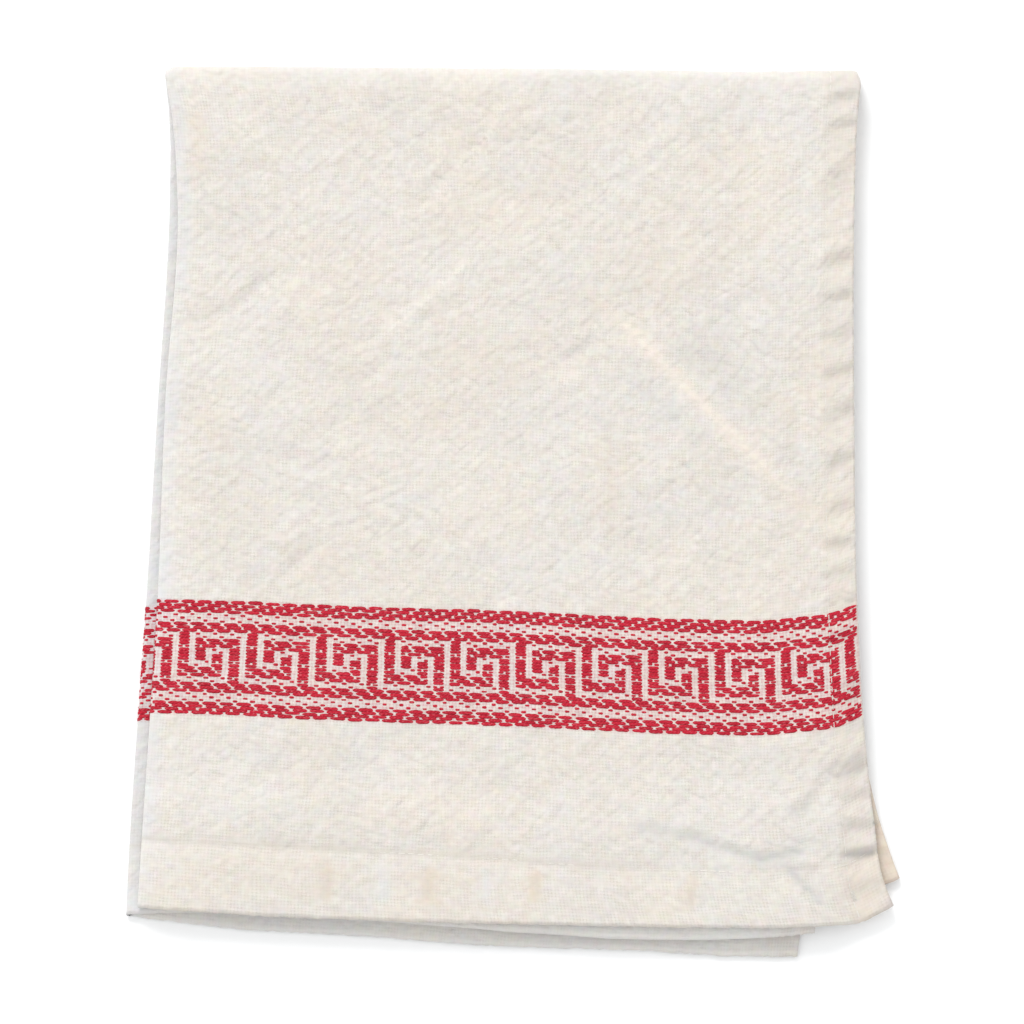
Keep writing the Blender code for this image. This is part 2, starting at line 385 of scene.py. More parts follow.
def face_relief(leaf, across, down, x, y):
    """The small relief of a leaf: crumple, which is calmer on the hems, puckers and troughs."""
    if not CRUMPLED[leaf]:
        return np.zeros_like(x)
    from_side = (1 - across) * HALF_WIDTH
    from_end = (1 - down) * HALF_LENGTH
    hem = hem_depth(across)
    calm = 1 - END_CALM * (1 - smoothstep(-0.002, 0.004, from_end - hem))
    calm *= 1 - SIDE_CALM * (1 - smoothstep(SIDE_HEM, SIDE_HEM + 0.004, from_side))
    relief = crumple(x, y) * calm
    relief += hem_puckers(from_side, y)
    relief -= END_TROUGH * trough(from_end - hem) * hem_pull(across)
    gather = rolling(x / GATHER_LENGTH, x * 0 + 3, 31) - 0.5
    relief += GATHER_HEIGHT * gather * (1 - smoothstep(0.0, 0.004, from_end - hem))
    return relief * CRUMPLED[leaf]


def leaf_height(leaf, across, down, x, y, lift):
    """The height of a point lifted from the right side of a leaf."""
    height = np.full_like(x, (SOLID_THICK - CLOTH_THICK) / 2)
    for below in range(leaf):
        height += LEAF_GAP + held_up(below, x, y)
    if leaf > GROUND:
        height += swell(x, y) * leaf / FACE
    if leaf == FACE:
        height += crease(x, y) * MM
    height += face_relief(leaf, across, down, x, y)
    if FACES_UP[leaf]:
        return height + thickness(across, down) + lift
    return np.maximum(height - lift, 0.0)


def thickness(across, down):
    """The cloth's thickness, which steps up to that of the turned hems."""
    from_side = (1 - across) * HALF_WIDTH
    from_end = (1 - down) * HALF_LENGTH - hem_depth(across)
    side = 1 - smoothstep(SIDE_HEM, SIDE_HEM + 4 * HEM_STEP, from_side)
    end = 1 - smoothstep(0, HEM_STEP, from_end)
    return CLOTH_THICK + (HEM_THICK - CLOTH_THICK) * np.maximum(side, end)


def parts_of(across, along):
    """The across and down fractions of a leaf at a place on the flat cloth."""
    part_across = (np.abs(across) - SIDE_BEND) / (HALF_WIDTH - SIDE_BEND)
    part_down = (np.abs(along) - TOP_BEND) / (HALF_LENGTH - TOP_BEND)
    return np.clip(part_across, 0, 1), np.clip(part_down, 0, 1)


def on_pair(outer, inner, across, along, lift):
    """Where a point lies on two leaves that share a lengthwise fold."""
    part_across, down = parts_of(across, along)
    turn = np.clip(across / SIDE_BEND, -1, 1) * QUARTER_TURN
    share = (1 - np.sin(turn)) / 2
    spots = []
    for leaf in (outer, inner):
        x, y = plan(leaf, part_across, down)
        spots.append(np.stack([x, y, leaf_height(leaf, part_across, down, x, y, lift)]))
    spot = spots[0] * (1 - share) + spots[1] * share
    spot[0] -= (SIDE_FOLD_RADIUS + lift) * np.cos(turn)
    return spot


def top_stack():
    """The height of the whole stack at the crosswise fold."""
    here = np.array([HALF_WIDTH / 2])
    start = np.array([TOP_BEND])
    flat = np.zeros(1)
    upper = on_pair(FACE, SECOND, here, start, flat)
    lower = on_pair(GROUND, THIRD, here, start, flat)
    return (upper - lower)[2, 0]


STACK = top_stack()


def pressed(x, y):
    """How far the stack is pressed down towards its folds."""
    top = ENDS[0].top * MM
    inset = np.maximum(x - fold_line(GROUND, (top - y) / (2 * top)), 0.0)
    side = 1 - PINCH * np.exp(-((inset / PINCH_REACH) ** 2))
    return side * (1 - TOP_PINCH * np.exp(-((np.maximum(top - y, 0) / TOP_PINCH_REACH) ** 2)))


def folded(across, along, lift):
    """Where points of the flat cloth lie once it is folded, as rows of x, y and z.

    across and along run from the lengthwise and the crosswise fold, and are positive on the
    face leaf. lift is the height over the cloth's right side.
    """
    across, along = np.ravel(across), np.ravel(along)
    lift = np.broadcast_to(lift, across.shape)
    upper = on_pair(FACE, SECOND, across, along, lift)
    lower = on_pair(GROUND, THIRD, across, along, lift)
    turn = np.clip(along / TOP_BEND, -1, 1) * QUARTER_TURN
    spot = (upper + lower) / 2 + (upper - lower) / 2 * np.sin(turn)
    spot[1] += TOP_FOLD_RADIUS * (upper[2] - lower[2]) / STACK * np.cos(turn)
    spot[2] *= pressed(spot[0], spot[1])
    return spot.T


# --- Meshes --------------------------------------------------------------------------------


def mesh_piece(name, points, faces, material, uv, attributes=()):
    """A smooth mesh object at the origin, with a UV map in metres along the cloth or thread."""
    mesh = bpy.data.meshes.new(name)
    mesh.from_pydata(points.tolist(), [], faces.tolist())
    corners = np.empty(len(mesh.loops), np.int32)
    mesh.loops.foreach_get("vertex_index", corners)
    layer = mesh.uv_layers.new(name="cloth")
    layer.uv.foreach_set("vector", uv[corners].astype(np.float32).ravel())
    for label, values in attributes:
        made = mesh.attributes.new(label, "FLOAT", "POINT")
        made.data.foreach_set("value", values.astype(np.float32))
    mesh.materials.append(material)
    mesh.shade_smooth()
    mesh.validate()
    piece = bpy.data.objects.new(name, mesh)
    bpy.context.scene.collection.objects.link(piece)
    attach(piece, "root")
    return piece


def grid_faces(rows, columns, flip=False):
    """Four-cornered faces over a grid of points numbered row by row."""
    start = (np.arange(rows - 1)[:, None] * columns + np.arange(columns - 1)).ravel()
    faces = np.stack([start, start + 1, start + columns + 1, start + columns], axis=1)
    return faces[:, ::-1] if flip else faces


BEFORE_HEM = 0.002
STEP_CELLS = 8
HEM_CELLS = 10


def spread(half, bend, hem, past_step, cells, coarse_cells, bend_cells):
    """Stations from the far hem of the coarse half, over the fold, to the fine half's hem.

    They lie closer at the step where a hem begins, up to past_step beyond it.
    """

    def half_of(count):
        step_start = half - hem - BEFORE_HEM
        step_stop = half - hem + past_step
        inner = np.linspace(bend, step_start, count - STEP_CELLS - HEM_CELLS)
        step = np.linspace(step_start, step_stop, STEP_CELLS + 1)
        outer = np.linspace(step_stop, half, HEM_CELLS + 1)
        return np.concatenate([inner, step[1:], outer[1:]])

    over = np.linspace(-bend, bend, bend_cells + 1)[1:-1]
    return np.concatenate([-half_of(coarse_cells)[::-1], over, half_of(cells)])


def looks_and_painted_light(across, along, spots):
    """What the cloth's colour follows: its grooves, which carry painted shade, its shade and
    warmth, which are mostly painted light and painted shade with some slow random tone, and its
    threads' drift.
    """
    part_across, part_down = parts_of(across, along)
    from_side = (1 - part_across) * HALF_WIDTH - SIDE_HEM
    from_end = (1 - part_down) * HALF_LENGTH - hem_depth(part_across)
    # Painted shade along the end hem's stitch groove, which also deepens its relief.
    groove = np.exp(-(((from_end - 0.0010) / 0.0008) ** 2)) * hem_pull(part_across)
    in_hem = 1 - smoothstep(-0.0004, 0.0006, from_end)
    above_hem = np.exp(-((np.maximum(from_end, 0) / 0.008) ** 2)) * (1 - in_hem)
    under_line = np.exp(-(((from_end + 0.0028) / 0.0026) ** 2)) * in_hem
    on_side = 1 - smoothstep(-0.002, 0.003, from_side)
    fold = 1 - smoothstep(0.003, 0.008, np.abs(across))
    x, y = spots[:, 0], spots[:, 1]
    face = (across > 0) & (along > 0)
    # Where the lower leaves show: past the face leaf's side hem and past its end hem.
    right = smoothstep(0.120, 0.126, x)
    below = smoothstep(0.130, 0.145, -y)
    # Painted light just under the end hem's line, painted shade above its step and over the side
    # hem, and a little lighter over the end hem.
    shade = 0.05 * in_hem + 0.25 * under_line - 0.25 * above_hem - 0.40 * on_side
    # Painted light in the crevice under the upper pair's fold, and painted shade on the lower
    # pair's fold beside it.
    shade += np.where(along > 0, 0.15, -0.3) * np.exp(-((across / 0.0035) ** 2))
    # Painted shade over the crosswise fold.
    shade -= 0.5 * np.exp(-((along / 0.008) ** 2))
    # On the face leaf, the creases' painted light and shade; on the lower leaves, painted light
    # where they show below the end hem and past the side hem, and a little painted shade elsewhere.
    shade += np.where(face, crease(x, y, "shade"), 0.7 * below - 0.1 + 0.3 * right)
    # A slow random tone, lighter and greyer.
    shade += 0.4 * (rolling(x / 0.020 + 20, y / 0.020 + 20, 54) - 0.5)
    # Creamier over the end hem, painted warm shade over the side hem, and painted cool shade along
    # the lengthwise folds.
    warmth = 0.15 * in_hem + 0.6 * on_side - 0.85 * fold
    # A slow random tone, warmer and cooler.
    warmth += 0.8 * (rolling(x / 0.018 + 20, y / 0.018 + 20, 53) - 0.5)
    # On the face leaf, the creases' warmth; on the lower leaves, painted warm light past the side
    # hem and painted cool shade below the end hem and elsewhere.
    warmth += np.where(face, crease(x, y, "warmth"), 3.4 * right - 0.4 - 0.7 * below)
    return [
        ("groove", np.minimum(groove, 1.0)),
        ("shade", shade),
        ("warmth", warmth),
        ("warp_drift", (rolling(across / 0.006, along / 0.009, 51) - 0.5) * 0.7),
        ("pick_drift", (rolling(across / 0.011, along / 0.006, 52) - 0.5) * 0.9),
    ]


def towel_cloth(material):
    across = spread(
        HALF_WIDTH, SIDE_BEND, SIDE_HEM, past_step=0.002, cells=152, coarse_cells=38, bend_cells=10
    )
    along = spread(
        HALF_LENGTH, TOP_BEND, END_HEM, past_step=0.0062, cells=186, coarse_cells=40, bend_cells=12
    )
    rows, columns = len(along), len(across)
    grid_along, grid_across = np.meshgrid(along, across, indexing="ij")
    grid_across, grid_along = grid_across.ravel(), grid_along.ravel()
    thick = thickness(*parts_of(grid_across, grid_along))
    right = folded(grid_across, grid_along, 0.0)
    wrong = folded(grid_across, grid_along, -thick)
    count = rows * columns
    flat = grid_faces(rows, columns)
    edge = np.concatenate(
        [
            np.arange(columns),
            np.arange(1, rows) * columns + columns - 1,
            np.arange(columns - 2, -1, -1) + (rows - 1) * columns,
            np.arange(rows - 2, 0, -1) * columns,
        ]
    )
    after = np.roll(edge, -1)
    rim = np.stack([after, edge, edge + count, after + count], axis=1)
    faces = np.concatenate([flat, flat[:, ::-1] + count, rim])
    uv = np.stack([grid_across, grid_along], axis=1)
    uv = np.concatenate([uv, uv + np.array((CLOTH_WIDTH * 2, 0.0))])
    points = np.concatenate([right, wrong])
    looks = looks_and_painted_light(grid_across, grid_along, right)
    attributes = [(name, np.tile(values, 2)) for name, values in looks]
    return mesh_piece("towel_cloth", points, faces, material, uv, attributes)


# --- The border ----------------------------------------------------------------------------

# The border from the fold outwards. Each red pick is tied down by every fifth warp: ties says
# which of the five, pick by pick. A stripe is red between its ties and a dotted ground only at
# them, as is a level stretch of the key's cream line.
Zone = namedtuple("Zone", "kind ties")
ZONES = (
    Zone("stripe", (2, 0, 3, 1)),
    Zone("dots", (1, 3, 0)),
    Zone("stripe", (0, 1, 3)),
    Zone("key", (3, 0, 0, 1, 4, 3, 0, 1, 3, 1, 3, 3, 4, 1, 1, 3)),
    Zone("stripe", (3, 4, 1)),
    Zone("dots", (1, 3, 0)),
    Zone("stripe", (0, 1, 4, 2)),
)
BORDER_PICKS = sum(len(zone.ties) for zone in ZONES)
BORDER_START = 0.1951
BORDER_MIDDLE = BORDER_START + BORDER_PICKS / 2 * PICK
TIE_EVERY = 5
KEY_REPEAT = 20
KEY_START = 6

# The key's cream line, LINE cells wide, corner by corner, in warps across and picks down.
LINE = 2
KEY_LINE = (
    (0, 0), (0, 14), (15, 14), (15, 5), (10, 5), (10, 9), (5, 9), (5, 0), (20, 0),
)
WARPS = int(HALF_WIDTH / WARP)


def on_key_line(place, pick):
    """Whether a cell lies on an upright or a level stretch of the key's cream line."""
    upright = level = False
    for (x0, y0), (x1, y1) in zip(KEY_LINE, KEY_LINE[1:]):
        for shift in (-KEY_REPEAT, 0):
            low_x, high_x = min(x0, x1) + shift, max(x0, x1) + shift + LINE
            low_y, high_y = min(y0, y1), max(y0, y1) + LINE
            if low_x <= place < high_x and low_y <= pick < high_y:
                upright |= x0 == x1
                level |= y0 == y1 and place >= low_x + LINE
    return upright and not level, level


def cell_kind(zone, row, warp):
    """What a cell of the border shows: red, cream, or a tie in the middle of a red stretch."""
    tie = (warp - zone.ties[row]) % TIE_EVERY == 0
    if zone.kind == "dots":
        return "red" if tie else "cream"
    if zone.kind == "key":
        upright, level = on_key_line((warp - KEY_START) % KEY_REPEAT, row)
        if upright:
            return "cream"
        if level:
            return "red" if tie else "cream"
        if row % TIE_EVERY == TIE_EVERY - 1 and (warp - 4) % TIE_EVERY == 0:
            return "firm tie"
    return "tie" if tie else "red"


def red_runs():
    """Each stretch where a red pick lies over the warp: (first warp, last warp, pick)."""
    runs = []
    pick = 0
    for zone in ZONES:
        for row in range(len(zone.ties)):
            cells = [cell_kind(zone, row, warp) for warp in range(-WARPS, WARPS + 1)]
            runs += runs_of_row(cells, pick)
            pick += 1
    return runs


def runs_of_row(cells, pick):
    """Joins a pick's red cells into floats. A tie at the edge of a red block is passed over."""
    runs, start = [], None
    red = [cell != "cream" for cell in cells]
    for spot, cell in enumerate(cells):
        inside = 1 < spot < len(cells) - 2 and all(red[spot - 1 : spot + 2])
        narrow = inside and not (red[spot - 2] or red[spot + 2])
        tied = inside and (cell == "firm tie" or (cell == "tie" and not narrow))
        if red[spot] and not tied and start is None:
            start = spot
        if (tied or not red[spot]) and start is not None:
            runs.append((start - WARPS, spot - WARPS, pick))
            start = None
    if start is not None:
        runs.append((start - WARPS, len(cells) - WARPS, pick))
    return runs


# A thread's mesh: its steps from end to end, and its faces from side to side.
FLOAT_STEPS = 6
FLOAT_SIDES = 4
# Half the width of a red float and of a dot, in picks, and how high they stand.
FLOAT_WIDTH = 0.62
DOT_WIDTH = 0.38
FLOAT_LIFT = 0.00026
DOT_LIFT = 0.00020
# How far a float reaches past its cells, and how unevenly, in warps; how unevenly its pick lies,
# in picks; and how far the floats stay from the cloth's edges.
REACH = 0.24
UNEVEN_REACH = 0.13
UNEVEN_PICK = 0.12
FLOAT_MARGIN = 0.0004
SHORTEST_FLOAT = 0.0006

Threads = namedtuple("Threads", "start stop middle half_width lift tone")


def threads_piece(name, material, threads, upright=False):
    """Short raised threads laid over the flat cloth, across it or, if upright, along it."""
    share = np.linspace(0, 1, FLOAT_STEPS + 1)
    taper = (1 - np.abs(2 * share - 1) ** 4.0) ** 0.5
    angle = np.linspace(-QUARTER_TURN, QUARTER_TURN, FLOAT_SIDES + 1)
    run = threads.start[:, None] + (threads.stop - threads.start)[:, None] * share
    run = np.repeat(run[:, :, None], FLOAT_SIDES + 1, axis=2)
    reach = threads.half_width[:, None] * (0.35 + 0.65 * taper)
    middle = threads.middle[:, None, None]
    ragged = 0.80 + 0.40 * rolling(run / 0.0007, run * 0 + middle / 0.0004, 71)
    offset = reach[:, :, None] * np.sin(angle) * ragged
    aside = middle + offset
    lift = threads.lift[:, None, None] * (taper[:, None] * np.cos(angle) * 1.15 - 0.15)
    if upright:
        points = folded(aside, run, lift.ravel())
    else:
        points = folded(run, aside, lift.ravel())
    count = (FLOAT_STEPS + 1) * (FLOAT_SIDES + 1)
    one = grid_faces(FLOAT_STEPS + 1, FLOAT_SIDES + 1, flip=upright)
    faces = (np.arange(len(run))[:, None, None] * count + one).reshape(-1, 4)
    uv = np.stack([run.ravel(), offset.ravel()], axis=1)
    return mesh_piece(name, points, faces, material, uv, [("tone", np.repeat(threads.tone, count))])


def border_threads(material):
    """The red picks of the border near one end of the cloth, and near the other."""
    rng = np.random.default_rng(5)
    first, last, pick = np.array(red_runs(), float).T
    count = len(pick)
    pieces = []
    dot = last - first < 1.5
    edge = HALF_WIDTH - FLOAT_MARGIN

    def uneven(most):
        return rng.uniform(-most, most, count)

    for name, end in (("border_of_face_end", 1), ("border_of_ground_end", -1)):
        start = np.maximum((first - REACH + uneven(UNEVEN_REACH)) * WARP, -edge)
        stop = np.minimum((last + REACH + uneven(UNEVEN_REACH)) * WARP, edge)
        middle = BORDER_START + (pick + 0.5 + uneven(UNEVEN_PICK)) * PICK
        half_width = np.where(dot, DOT_WIDTH, FLOAT_WIDTH) * rng.uniform(0.86, 1.10, count) * PICK
        lift = np.where(dot, DOT_LIFT, FLOAT_LIFT)
        tone = rng.uniform(0, 1, count)
        kept = stop - start > SHORTEST_FLOAT
        threads = Threads(start, stop, end * middle, half_width, lift, tone)
        threads = Threads(*[values[kept] for values in threads])
        pieces.append(threads_piece(name, material, threads))
    return pieces


STITCH = 0.0024
STITCH_STEP = 0.0032
STITCH_HALF_WIDTH = 0.00021
STITCH_LIFT = 0.00007
# The side hem's stitches lie this far on its doubled cloth, and the end hem's this far off it.
# The first and last stitch of a line stay clear of the cloth's edges.
STITCHES_ON_SIDE_HEM = 0.0008
STITCHES_OFF_END_HEM = 0.0004
STITCHES_FROM_EDGE = 0.001
# How much higher a side hem's stitches lie where they cross the border's red picks.
BORDER_RISE = 0.00036
TACK_STITCHES = 4
TACK_LENGTH = 0.0042
TACK_STEP = 0.00032
TACK_HALF_WIDTH = 0.0002
TACK_LIFT = 0.0004
TACK_FROM_END = 0.0112
TACK_FROM_SIDE = 0.0106


def stitch_line(low, high, middle_at, seed, over_border=False):
    """A row of stitches from low to high; middle_at gives the line's place at each stitch."""
    rng = np.random.default_rng(seed)
    start = np.arange(low, high - STITCH, STITCH_STEP)
    start = start + rng.uniform(-0.0001, 0.0001, len(start))
    ones = np.ones_like(start)
    middle = middle_at(start + STITCH / 2)
    tone = rng.uniform(0, 1, len(start))
    raised = over_border & (np.abs(np.abs(start) - BORDER_MIDDLE) < BORDER_PICKS / 2 * PICK)
    lift = STITCH_LIFT + BORDER_RISE * raised
    return Threads(start, start + STITCH, middle * ones, ones * STITCH_HALF_WIDTH, lift, tone)


def joined(lines):
    return Threads(*[np.concatenate(values) for values in zip(*lines)])


def hem_stitches(material):
    """The stitch lines of the side hems and the end hems."""
    edge = HALF_WIDTH - SIDE_HEM + STITCHES_ON_SIDE_HEM
    ends = HALF_LENGTH - STITCHES_FROM_EDGE
    sides = [
        stitch_line(-ends, ends, lambda along: along * 0 + edge, 41, over_border=True),
        stitch_line(-ends, ends, lambda along: along * 0 - edge, 42, over_border=True),
    ]

    def hem_line(across):
        part, _ = parts_of(across, across)
        return HALF_LENGTH - hem_depth(part) - STITCHES_OFF_END_HEM

    reach = HALF_WIDTH - STITCHES_FROM_EDGE
    levels = [
        stitch_line(-reach, reach, hem_line, 43),
        stitch_line(-reach, reach, lambda across: -hem_line(across), 44),
    ]
    return [
        threads_piece("side_hem_stitches", material, joined(sides), upright=True),
        threads_piece("end_hem_stitches", material, joined(levels)),
    ]


def bar_tack(material):
    """The few close stitches that hold the corner where the two hems cross."""
    ones = np.ones(TACK_STITCHES)
    start = ones * (HALF_LENGTH - TACK_FROM_END)
    middle = HALF_WIDTH - TACK_FROM_SIDE + np.arange(TACK_STITCHES) * TACK_STEP
    half_width, lift = ones * TACK_HALF_WIDTH, ones * TACK_LIFT
    threads = Threads(start, start + TACK_LENGTH, middle, half_width, lift, tone=ones)
    return threads_piece("bar_tack", material, threads, upright=True)


# --- Materials -----------------------------------------------------------------------------


class Value:
    """A number, colour or vector that a shader works out, with the usual arithmetic."""

    def __init__(self, shader, socket):
        self.shader = shader
        self.socket = socket

    def math(self, operation, *values):
        return self.shader.node("ShaderNodeMath", {"operation": operation}, dict(enumerate(values)))

    def __add__(self, other):
        return self.math("ADD", self, other)

    def __sub__(self, other):
        return self.math("SUBTRACT", self, other)

    def __mul__(self, other):
        return self.math("MULTIPLY", self, other)

    def __truediv__(self, other):
        return self.math("DIVIDE", self, other)

    def __rsub__(self, other):
        return self.math("SUBTRACT", other, self)

    def __rtruediv__(self, other):
        return self.math("DIVIDE", other, self)

    __radd__ = __add__
    __rmul__ = __mul__

    def sine(self):
        return self.math("SINE", self)

    def fraction(self):
        return self.math("FRACT", self)

    def floor(self):
        return self.math("FLOOR", self)

    def size(self):
        return self.math("ABSOLUTE", self)

    def larger(self, other):
        return self.math("MAXIMUM", self, other)

    def ramp(self, low, high, out_low=0.0, out_high=1.0):
        """Runs smoothly from out_low to out_high as the value goes from low to high."""
        return self.shader.node(
            "ShaderNodeMapRange",
            {"interpolation_type": "SMOOTHSTEP"},
            {"Value": self, 1: low, 2: high, 3: out_low, 4: out_high},
        )


class Shader:
    """A material whose nodes are made by calls."""

    def __init__(self, name):
        self.material = bpy.data.materials.new(name)
        self.material.use_nodes = True
        self.tree = self.material.node_tree
        self.surface = self.tree.nodes["Principled BSDF"]

    def node(self, kind, settings=None, inputs=None, output=0):
        made = self.tree.nodes.new(kind)
        for key, value in (settings or {}).items():
            setattr(made, key, value)
        for key, value in (inputs or {}).items():
            self.plug(made.inputs[key], value)
        return Value(self, made.outputs[output])

    def plug(self, socket, value):
        if isinstance(value, Value):
            self.tree.links.new(value.socket, socket)
        else:
            socket.default_value = value

    def map(self):
        """The two coordinates of the piece's own map, in metres."""
        uv = self.node("ShaderNodeUVMap", {"uv_map": "cloth"})
        return [self.node("ShaderNodeSeparateXYZ", {}, {0: uv}, axis) for axis in ("X", "Y")]

    def vector(self, x, y, z=0.0):
        return self.node("ShaderNodeCombineXYZ", {}, {0: x, 1: y, 2: z})

    def noise(self, vector, scale, detail=0.0):
        return self.node(
            "ShaderNodeTexNoise", {}, {"Vector": vector, "Scale": scale, "Detail": detail}
        )

    def attribute(self, name):
        return self.node("ShaderNodeAttribute", {"attribute_name": name}, {}, "Fac")

    def mix(self, share, first, second):
        """Mixes two colours."""
        inputs = {0: share, 6: first, 7: second}
        return self.node("ShaderNodeMix", {"data_type": "RGBA"}, inputs, 2)

    def finish(self, base, roughness, height, depth, sheen):
        """Gives the surface its colour and its relief, which is height times depth in metres."""
        self.plug(self.surface.inputs["Base Color"], base)
        self.plug(self.surface.inputs["Roughness"], roughness)
        self.surface.inputs["Specular IOR Level"].default_value = 0.2
        self.surface.inputs["Sheen Weight"].default_value = sheen
        self.surface.inputs["Sheen Roughness"].default_value = 0.6
        bump = {"Height": height, "Distance": depth, "Strength": 1.0}
        self.plug(self.surface.inputs["Normal"], self.node("ShaderNodeBump", {}, bump))
        return self.material


def colour(red, green, blue):
    """A colour given as it looks on a screen, from 0 to 255."""
    linear = [((part / 255 + 0.055) / 1.055) ** 2.4 for part in (red, green, blue)]
    return (*linear, 1.0)


CREAM_LIGHT = colour(219, 212, 204)
CREAM_DEEP = colour(209, 202, 193)
# Painted shade in the weave's pits and the end hems' grooves.
PIT_SHADE_CREAM = colour(192, 185, 173)
# Pale and grey, warm and cool: mostly painted light and painted shade, mixed in by the mesh's shade
# and warmth, with some slow random tone.
PALE = colour(232, 227, 219)
GREYED = colour(186, 183, 178)
WARM = colour(218, 202, 184)
COOL = colour(206, 207, 210)
PINKED = colour(198, 152, 154)
SEWING_CREAM = colour(219, 214, 206)
# Red lit on the crown and shaded on the flanks: painted light and painted shade, and each float's
# own tone.
RED_LIGHT_AND_LIT = colour(188, 28, 50)
RED_DEEP_AND_SHADED = colour(136, 14, 30)
RED_FLUFF = colour(206, 96, 104)

# How high the weave's threads stand, and how deep the stitches draw the end hem's groove.
WEAVE_RELIEF = 0.000052
GROOVE_DEPTH = 0.00010

# The finest creases, in metres: how far each set is turned in degrees, how long and how wide its
# hills are, how high they stand, and where in the noise they start.
Hills = namedtuple("Hills", "heading long short height start")
PEBBLES = Hills(-35, 0.0042, 0.0034, 0.00046, 31.0)
RIDGES = (
    Hills(-40, 0.012, 0.0042, 0.00022, 3.0),
    Hills(-62, 0.008, 0.0036, 0.00013, 11.0),
    Hills(38, 0.009, 0.0038, 0.00024, 23.0),
)


def drawn_out(shader, across, along, hills, detail=0.0):
    """Noise from 0 to 1 whose hills are drawn out along their heading."""
    heading = math.radians(hills.heading)
    run = (across * math.cos(heading) + along * math.sin(heading)) / hills.long
    side = (along * math.cos(heading) - across * math.sin(heading)) / hills.short
    return shader.noise(shader.vector(run + hills.start, side + hills.start), 1.0, detail)


def crumples(shader, across, along):
    """The height of the finest creases: soft ridges, and pebbles between them."""
    total = drawn_out(shader, across, along, PEBBLES, detail=1.0) * PEBBLES.height
    for hills in RIDGES:
        slope = (drawn_out(shader, across, along, hills) - 0.5) * 5.0
        total = total + hills.height / (slope * slope + 1.0)
    return total


def woven_cotton():
    """Plain weave of slightly uneven cream threads, with painted shade in the pits between them and
    in the hems' grooves, painted light and shade from the mesh's shade and warmth, and the pink
    tint where the red picks run under the warp."""
    shader = Shader("woven cream cotton")
    across, along = shader.map()
    warp = across / WARP + shader.attribute("warp_drift")
    pick = along / PICK + shader.attribute("pick_drift")
    over = (warp * math.pi).sine() * (pick * math.pi).sine()
    warp_across = warp.fraction() * 2.0 - 1.0
    pick_across = pick.fraction() * 2.0 - 1.0
    warp_top = (1.0 - warp_across * warp_across) * (0.62 + 0.38 * over)
    pick_top = (1.0 - pick_across * pick_across) * (0.62 - 0.38 * over)
    height = warp_top.larger(pick_top)

    # Each thread has its own tone, which changes slowly along it.
    warp_tone = shader.noise(shader.vector(warp.floor() * 3.7, along * 200.0), 1.0)
    pick_tone = shader.noise(shader.vector(pick.floor() * 4.1, across * 200.0, 5.0), 1.0)
    tone = (warp_tone + pick_tone) / 2.0
    cream = shader.mix(tone.ramp(0.25, 0.75), CREAM_DEEP, CREAM_LIGHT)

    # The pits between the threads are painted darker, as shade. Some places are woven closer than
    # others, and the threads lie flat over the crosswise fold.
    spots = shader.vector(across, along)
    uneven = shader.noise(spots, 260.0, 1.0).ramp(0.3, 0.7, 0.4, 1.6)
    uneven = uneven * along.size().ramp(0.003, 0.013, 0.3, 1.0)
    pits = (1.0 - height.ramp(0.2, 0.75)) * 0.50
    cream = shader.mix(pits * uneven, cream, PIT_SHADE_CREAM)

    # Painted light and shade, warm or cool, pale or grey, with a slow random tone.
    warmth = shader.attribute("warmth") + (shader.noise(spots, 150.0, 2.0) - 0.5) * 1.7
    cream = shader.mix(warmth.larger(0.0) * 0.5, cream, WARM)
    cream = shader.mix((warmth * -1.0).larger(0.0) * 0.5, cream, COOL)
    shade = shader.attribute("shade")
    cream = shader.mix(shade.larger(0.0) * 0.5, cream, PALE)
    cream = shader.mix((shade * -1.0).larger(0.0) * 0.5, cream, GREYED)
    patches = {"Vector": spots, "Scale": 330.0, "Detail": 2.0, "Roughness": 0.6}
    cream = shader.mix(0.09, cream, shader.node("ShaderNodeTexNoise", {}, patches, 1))

    inside = (along.size() - BORDER_MIDDLE).size()
    border = 1.0 - inside.ramp((BORDER_PICKS / 2 - 0.2) * PICK, (BORDER_PICKS / 2 + 0.8) * PICK)
    fluff = shader.noise(spots, 700.0).ramp(0.35, 0.7)
    cream = shader.mix(border * (fluff * 0.35 + pits * 0.9 + 0.05), cream, PINKED)
    # Painted shade along the end hem's stitch groove.
    groove = shader.attribute("groove")
    cream = shader.mix(groove * 0.5, cream, PIT_SHADE_CREAM)

    # The doubled cloth of the end hems crumples less.
    fuzz = shader.noise(spots, 1300.0)
    stiff = along.size().ramp(0.278, 0.284, 1.0, 0.65)
    relief = (height * uneven + fuzz * 0.4) * WEAVE_RELIEF - groove * GROOVE_DEPTH
    relief = relief + crumples(shader, across, along) * stiff
    return shader.finish(cream, roughness=0.92, height=relief, depth=1.0, sheen=0.25)


# How long one turn of each thread's twist is, along the thread and across it.
RED_TWIST = 0.0013
RED_TWIST_SLANT = 0.0011
WHITE_TWIST = 0.0005


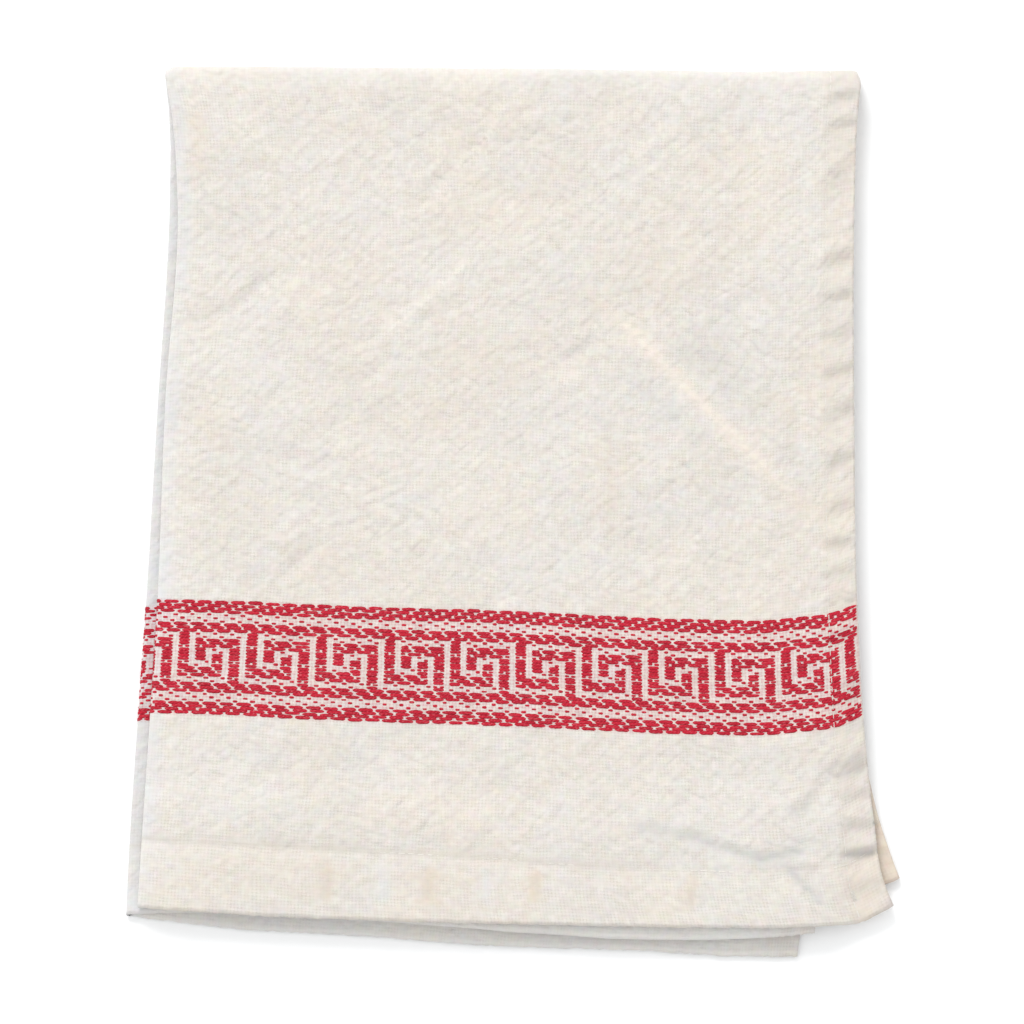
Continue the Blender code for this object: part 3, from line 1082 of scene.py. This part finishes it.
def red_thread():
    """Twisted red cotton: painted lighter on the crown and darker on the flanks and in its twist's
    grooves, as light and shade.
    """
    shader = Shader("red cotton thread")
    along, offset = shader.map()
    tone = shader.attribute("tone")
    turns = along / RED_TWIST + offset / RED_TWIST_SLANT + tone * 7.0
    twist = (turns * (2 * math.pi)).sine()
    fuzz = shader.noise(shader.vector(along, offset, tone), 1500.0, 1.0)
    # Painted light on the crown and painted shade on the flanks and in the twist's grooves; fuzz
    # and each float's own tone vary it at random.
    edge = 1.0 - (offset.size() / (FLOAT_WIDTH * PICK)).ramp(0.45, 1.0)
    share = edge * 0.55 + (twist * 0.5 + 0.5) * 0.25 + fuzz * 0.35 + (tone - 0.5) * 0.3
    red = shader.mix(share.ramp(0.25, 1.05), RED_DEEP_AND_SHADED, RED_LIGHT_AND_LIT)
    fibres = shader.noise(shader.vector(along / 0.0010, offset / 0.00035, tone * 9.0), 1.0, 1.0)
    red = shader.mix(fibres.ramp(0.5, 0.8) * 0.7, red, RED_FLUFF)
    relief = twist * 0.5 + fuzz
    return shader.finish(red, roughness=0.85, height=relief, depth=0.00012, sheen=0.04)


def white_thread():
    """Fine twisted sewing cotton."""
    shader = Shader("white sewing cotton")
    along, offset = shader.map()
    twist = ((along / WHITE_TWIST + offset / WHITE_TWIST) * (2 * math.pi)).sine()
    # Painted shade on the thread's flanks.
    edge = 1.0 - (offset.size() / 0.00024).ramp(0.5, 1.0)
    white = shader.mix(edge, CREAM_DEEP, SEWING_CREAM)
    return shader.finish(white, roughness=0.7, height=twist, depth=0.00004, sheen=0.1)


# --- The scene -----------------------------------------------------------------------------


def plain_material(name, tone):
    shader = Shader(name)
    shader.surface.inputs["Base Color"].default_value = (tone, tone, tone, 1.0)
    shader.surface.inputs["Roughness"].default_value = 0.9
    shader.surface.inputs["Specular IOR Level"].default_value = 0.1
    return shader.material


def floor():
    bpy.ops.object.select_all(action="DESELECT")
    bpy.ops.mesh.primitive_plane_add(size=6.0, location=(0, 0, 0))
    made = bpy.context.active_object
    made.name = "floor"
    made.data.materials.append(plain_material("pale floor", 0.97))


def area_light(name, place, size, power, tint):
    """A square light that faces the towel's middle."""
    lamp = bpy.data.lights.new(name, "AREA")
    lamp.shape = "SQUARE"
    lamp.size = size
    lamp.energy = power
    lamp.color = tint
    made = bpy.data.objects.new(name, lamp)
    made.location = place
    toward = -np.array(place)
    made.rotation_euler = (
        math.atan2(math.hypot(toward[0], toward[1]), -toward[2]),
        0.0,
        math.atan2(toward[1], toward[0]) - QUARTER_TURN,
    )
    bpy.context.scene.collection.objects.link(made)


def studio():
    world = bpy.data.worlds.new("studio")
    world.use_nodes = True
    world.node_tree.nodes["Background"].inputs["Color"].default_value = (0.985, 0.995, 1.0, 1.0)
    world.node_tree.nodes["Background"].inputs["Strength"].default_value = 1.045
    bpy.context.scene.world = world
    area_light("key light", (-1.3, 4.3, 3.0), size=2.0, power=153.0, tint=(0.99, 0.997, 1.0))
    bpy.context.scene.view_settings.view_transform = "Standard"


# The view covers a square this wide at the height of the face leaf.
VIEW_WIDTH = 0.3697
FACE_HEIGHT = 0.0075
LENS = 300.0
SENSOR = 36.0


def camera():
    seen = bpy.data.cameras.new("camera")
    seen.lens = LENS
    seen.sensor_width = SENSOR
    made = bpy.data.objects.new("camera", seen)
    distance = VIEW_WIDTH * LENS / SENSOR
    made.location = (0.0, 0.0, FACE_HEIGHT + distance)
    bpy.context.scene.collection.objects.link(made)
    bpy.context.scene.camera = made


def main():
    cloth = towel_cloth(woven_cotton())
    white = white_thread()
    threads = border_threads(red_thread()) + hem_stitches(white) + [bar_tack(white)]
    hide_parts("tea_towel")
    floor()
    studio()
    camera()


main()
